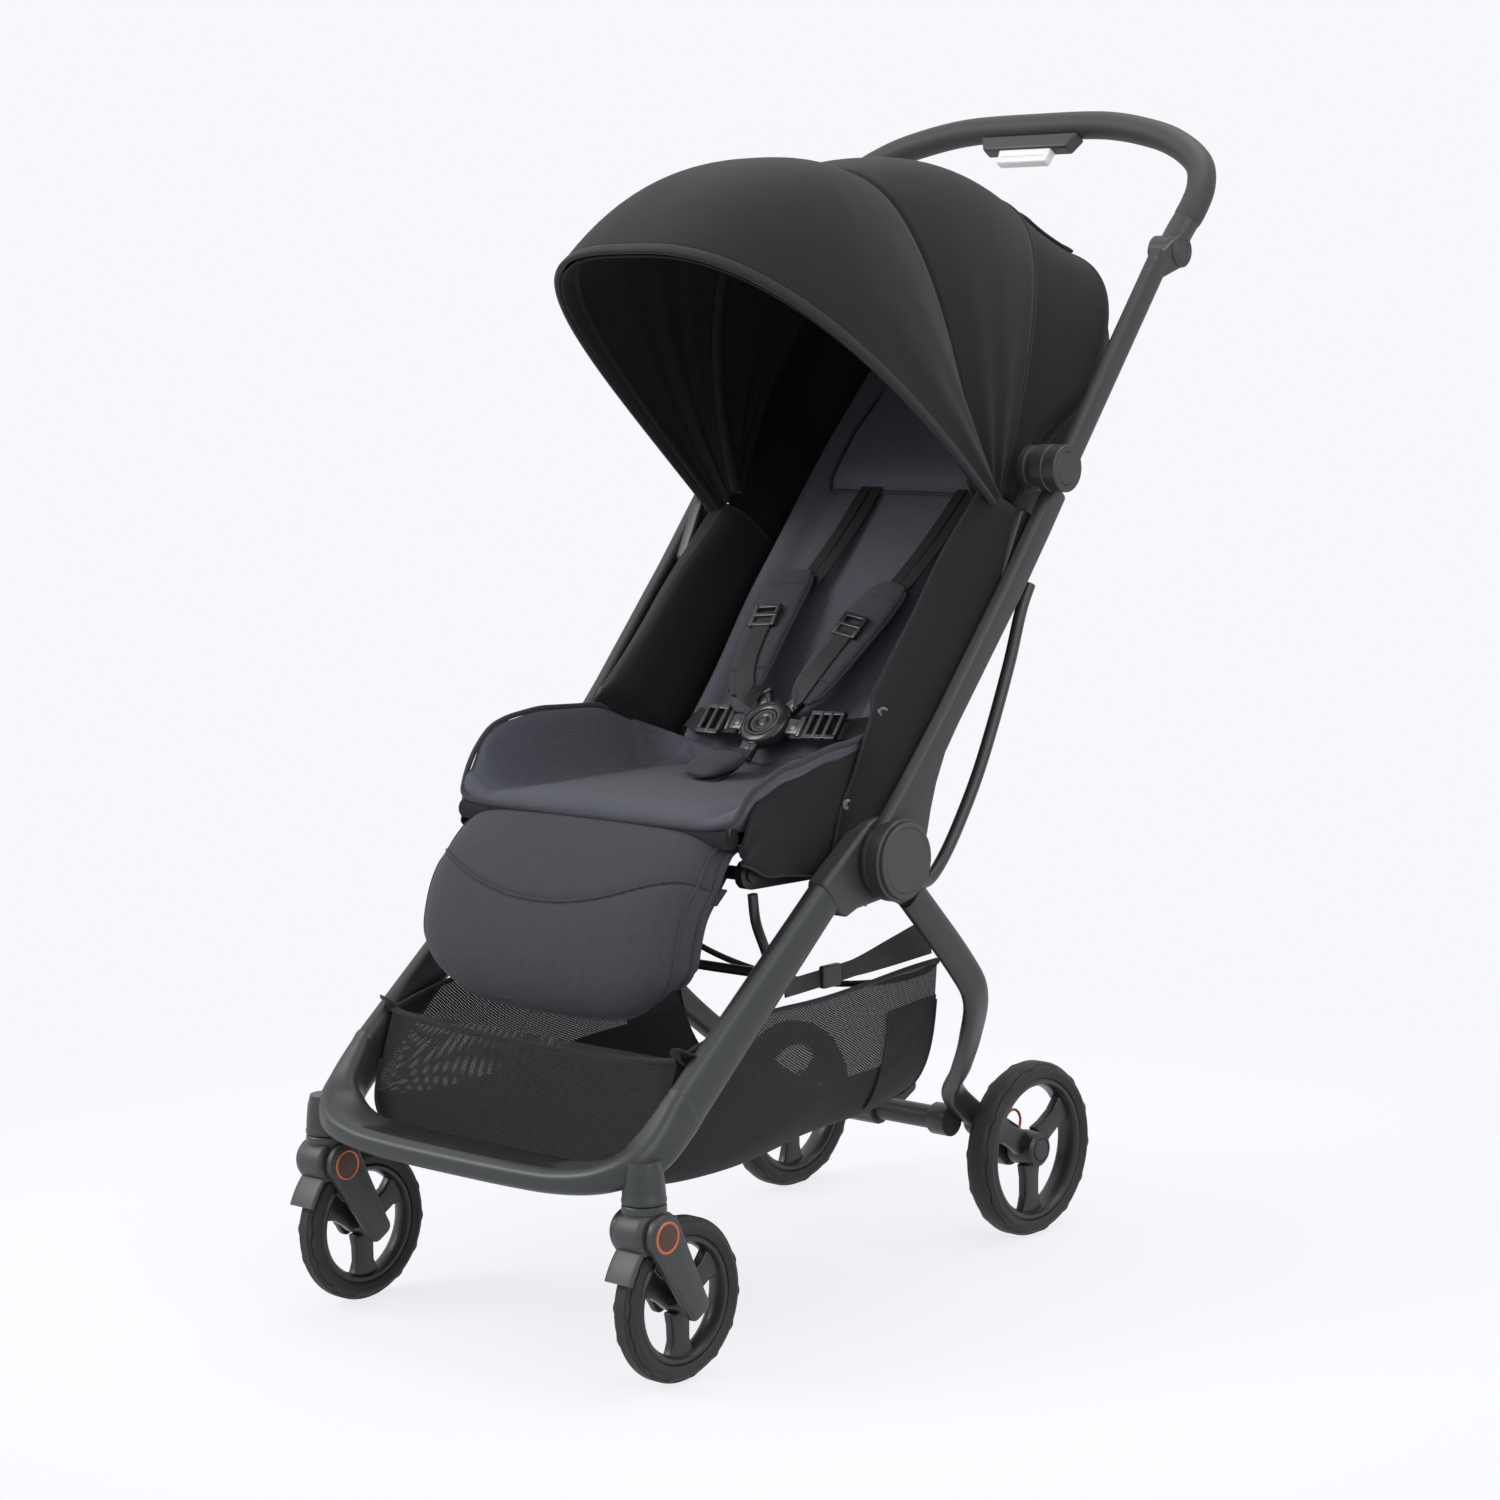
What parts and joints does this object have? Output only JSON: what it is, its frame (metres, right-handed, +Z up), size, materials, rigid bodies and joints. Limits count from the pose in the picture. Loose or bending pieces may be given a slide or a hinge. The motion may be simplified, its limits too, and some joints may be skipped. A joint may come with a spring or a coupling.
{
  "type": "compact stroller",
  "caption": "Folding child stroller with a reclining padded seat, hinged canopy, footrest, mesh basket, looped handlebar and swivelling front wheels.",
  "frame": {"origin": "on the floor under the middle of the open stroller's outline", "axes": "+Z up; the child faces -Y; +X is the side of the child's left hand"},
  "size_m": [0.4724, 0.8459, 1.0565],
  "materials": {
    "frame": "satin powder coat, charcoal",
    "plastic": "fine satin grain, charcoal",
    "black_plastic": "satin, black",
    "tyre": "matt foam rubber, near black",
    "foam": "matt soft cover, charcoal",
    "copper": "satin copper orange",
    "clear": "milky white, half clear",
    "slate": "fine melange weave, slate grey",
    "black_fabric": "plain weave, black",
    "mesh_fabric": "open net, dark grey"
  },
  "bodies": {
    "front_frame": {"foot_bar": "frame", "pivot_tube": "frame", "basket": "mesh_fabric", "front_leg_left": "frame", "front_leg_right": "frame", "hub_housing_left": "plastic", "hub_housing_right": "plastic"},
    "rear_frame": {"axle_bar": "frame", "rear_leg_left": "frame", "rear_leg_right": "frame"},
    "brake": {"brake_pedal": "plastic"},
    "rear_wheel_left": {"rear_tyre_left": "tyre", "rear_rim_left": "plastic"},
    "rear_wheel_right": {"rear_tyre_right": "tyre", "rear_rim_right": "plastic"},
    "push_frame": {"push_tube_left": "frame", "push_tube_right": "frame", "hub_cover_left": "plastic", "hub_cover_right": "plastic", "back_stay_left": "frame", "back_stay_right": "frame", "canopy_mount_left": "black_plastic", "canopy_mount_right": "black_plastic", "side_panel_left": "black_fabric", "side_panel_right": "black_fabric", "canopy_rear": "black_fabric"},
    "handle_frame": {"upper_tube_left": "frame", "upper_tube_right": "frame"},
    "handlebar": {"handlebar_grip": "foam", "trigger_housing": "plastic"},
    "fold_trigger": {"fold_trigger": "clear"},
    "tilt_button_left": {"tilt_button_left": "black_plastic"},
    "tilt_button_right": {"tilt_button_right": "black_plastic"},
    "seat": {"seat_frame": "black_plastic", "seat_pad": "slate", "support_loop": "frame"},
    "footrest": {"footrest_panel": "black_plastic", "footrest_pad": "slate"},
    "backrest": {"back_shell": "black_plastic", "back_pad": "slate", "shoulder_strap_left": "slate", "shoulder_strap_right": "slate", "buckle": "black_plastic"},
    "buckle_button": {"buckle_button": "plastic"},
    "canopy_middle": {"canopy_mid": "black_fabric"},
    "canopy_hood": {"canopy_front": "black_fabric", "canopy_bow": "black_plastic"},
    "caster_left": {"caster_head_left": "plastic"},
    "caster_right": {"caster_head_right": "plastic"},
    "fork_left": {"caster_fork_left": "plastic", "caster_ring_left_inner": "copper", "caster_ring_left_outer": "copper"},
    "fork_right": {"caster_fork_right": "plastic", "caster_ring_right_inner": "copper", "caster_ring_right_outer": "copper"},
    "front_wheel_left": {"front_tyre_left": "tyre", "front_rim_left": "plastic"},
    "front_wheel_right": {"front_tyre_right": "tyre", "front_rim_right": "plastic"}
  },
  "joints": [
    {"name": "fold", "type": "hinge", "parent": "front_frame", "child": "push_frame", "pos_m": [0, -0.09, 0.401], "axis": [1, 0, 0], "range_deg": [0, 150], "deforming": ["basket", "side_panel_left", "side_panel_right", "seat_pad", "back_pad", "footrest_pad", "shoulder_strap_left", "shoulder_strap_right", "canopy_rear", "canopy_mid", "canopy_front", "canopy_bow"]},
    {"name": "rear_fold", "type": "hinge", "parent": "front_frame", "child": "rear_frame", "pos_m": [0, -0.09, 0.401], "axis": [1, 0, 0], "range_deg": [-55, 0]},
    {"name": "seat_fold", "type": "hinge", "parent": "front_frame", "child": "seat", "pos_m": [0, -0.09, 0.401], "axis": [1, 0, 0], "range_deg": [0, 45]},
    {"name": "handle_fold", "type": "hinge", "parent": "push_frame", "child": "handle_frame", "pos_m": [0, 0.14047, 0.72657], "axis": [1, 0, 0], "range_deg": [-150, 0]},
    {"name": "handlebar_tilt", "type": "hinge", "parent": "handle_frame", "child": "handlebar", "pos_m": [0, 0.32006, 0.91913], "axis": [1, 0, 0], "range_deg": [-30, 30]},
    {"name": "fold_trigger_slide", "type": "slide", "parent": "handlebar", "child": "fold_trigger", "axis": [0, 0.5592, 0.829], "range_m": [0, 0.006], "stiffness_N_per_m": 300},
    {"name": "tilt_button_left_slide", "type": "slide", "parent": "handlebar", "child": "tilt_button_left", "axis": [-1, 0, 0], "range_m": [0, 0.002], "stiffness_N_per_m": 400},
    {"name": "tilt_button_right_slide", "type": "slide", "parent": "handlebar", "child": "tilt_button_right", "axis": [1, 0, 0], "range_m": [0, 0.002], "stiffness_N_per_m": 400},
    {"name": "footrest_lift", "type": "hinge", "parent": "seat", "child": "footrest", "pos_m": [0, -0.214, 0.399], "axis": [1, 0, 0], "range_deg": [-48, 0], "deforming": ["seat_pad", "footrest_pad"]},
    {"name": "recline", "type": "hinge", "parent": "push_frame", "child": "backrest", "pos_m": [0, -0.01241, 0.41893], "axis": [1, 0, 0], "range_deg": [-32, 0], "deforming": ["side_panel_left", "side_panel_right", "back_pad", "seat_pad"]},
    {"name": "buckle_button_slide", "type": "slide", "parent": "backrest", "child": "buckle_button", "axis": [0, 0.6765, -0.7364], "range_m": [0, 0.0012], "stiffness_N_per_m": 400},
    {"name": "canopy_close", "type": "hinge", "parent": "push_frame", "child": "canopy_middle", "pos_m": [0, 0.11777, 0.67929], "axis": [-1, 0, 0], "range_deg": [0, 30], "deforming": ["canopy_rear", "canopy_mid", "canopy_front", "canopy_bow"]},
    {"name": "canopy_hood_close", "type": "hinge", "parent": "canopy_middle", "child": "canopy_hood", "pos_m": [0, 0.11777, 0.67929], "axis": [-1, 0, 0], "range_deg": [0, 30]},
    {"name": "brake_press", "type": "hinge", "parent": "rear_frame", "child": "brake", "pos_m": [0, 0.108, 0.118], "axis": [1, 0, 0], "range_deg": [-18, 0]},
    {"name": "caster_left_swivel", "type": "hinge", "parent": "front_frame", "child": "caster_left", "pos_m": [-0.192, -0.392, 0.158], "axis": [0, 0, 1], "continuous": true},
    {"name": "fork_left_spring", "type": "hinge", "parent": "caster_left", "child": "fork_left", "pos_m": [-0.192, -0.391, 0.1325], "axis": [1, 0, 0], "range_deg": [0, 5], "stiffness_Nm_per_rad": 30},
    {"name": "front_wheel_left_spin", "type": "hinge", "parent": "fork_left", "child": "front_wheel_left", "pos_m": [-0.192, -0.355, 0.069], "axis": [1, 0, 0], "continuous": true},
    {"name": "rear_wheel_left_spin", "type": "hinge", "parent": "rear_frame", "child": "rear_wheel_left", "pos_m": [-0.149, 0.182, 0.0825], "axis": [1, 0, 0], "continuous": true},
    {"name": "caster_right_swivel", "type": "hinge", "parent": "front_frame", "child": "caster_right", "pos_m": [0.192, -0.392, 0.158], "axis": [0, 0, 1], "continuous": true},
    {"name": "fork_right_spring", "type": "hinge", "parent": "caster_right", "child": "fork_right", "pos_m": [0.192, -0.391, 0.1325], "axis": [1, 0, 0], "range_deg": [0, 5], "stiffness_Nm_per_rad": 30},
    {"name": "front_wheel_right_spin", "type": "hinge", "parent": "fork_right", "child": "front_wheel_right", "pos_m": [0.192, -0.355, 0.069], "axis": [1, 0, 0], "continuous": true},
    {"name": "rear_wheel_right_spin", "type": "hinge", "parent": "rear_frame", "child": "rear_wheel_right", "pos_m": [0.149, 0.182, 0.0825], "axis": [1, 0, 0], "continuous": true}
  ],
  "couplings": [
    {"joint": "rear_fold", "follows": "fold", "ratio": -0.36667},
    {"joint": "seat_fold", "follows": "fold", "ratio": 0.3},
    {"joint": "handle_fold", "follows": "fold", "ratio": -1},
    {"joint": "canopy_hood_close", "follows": "canopy_close", "ratio": 1}
  ]
}
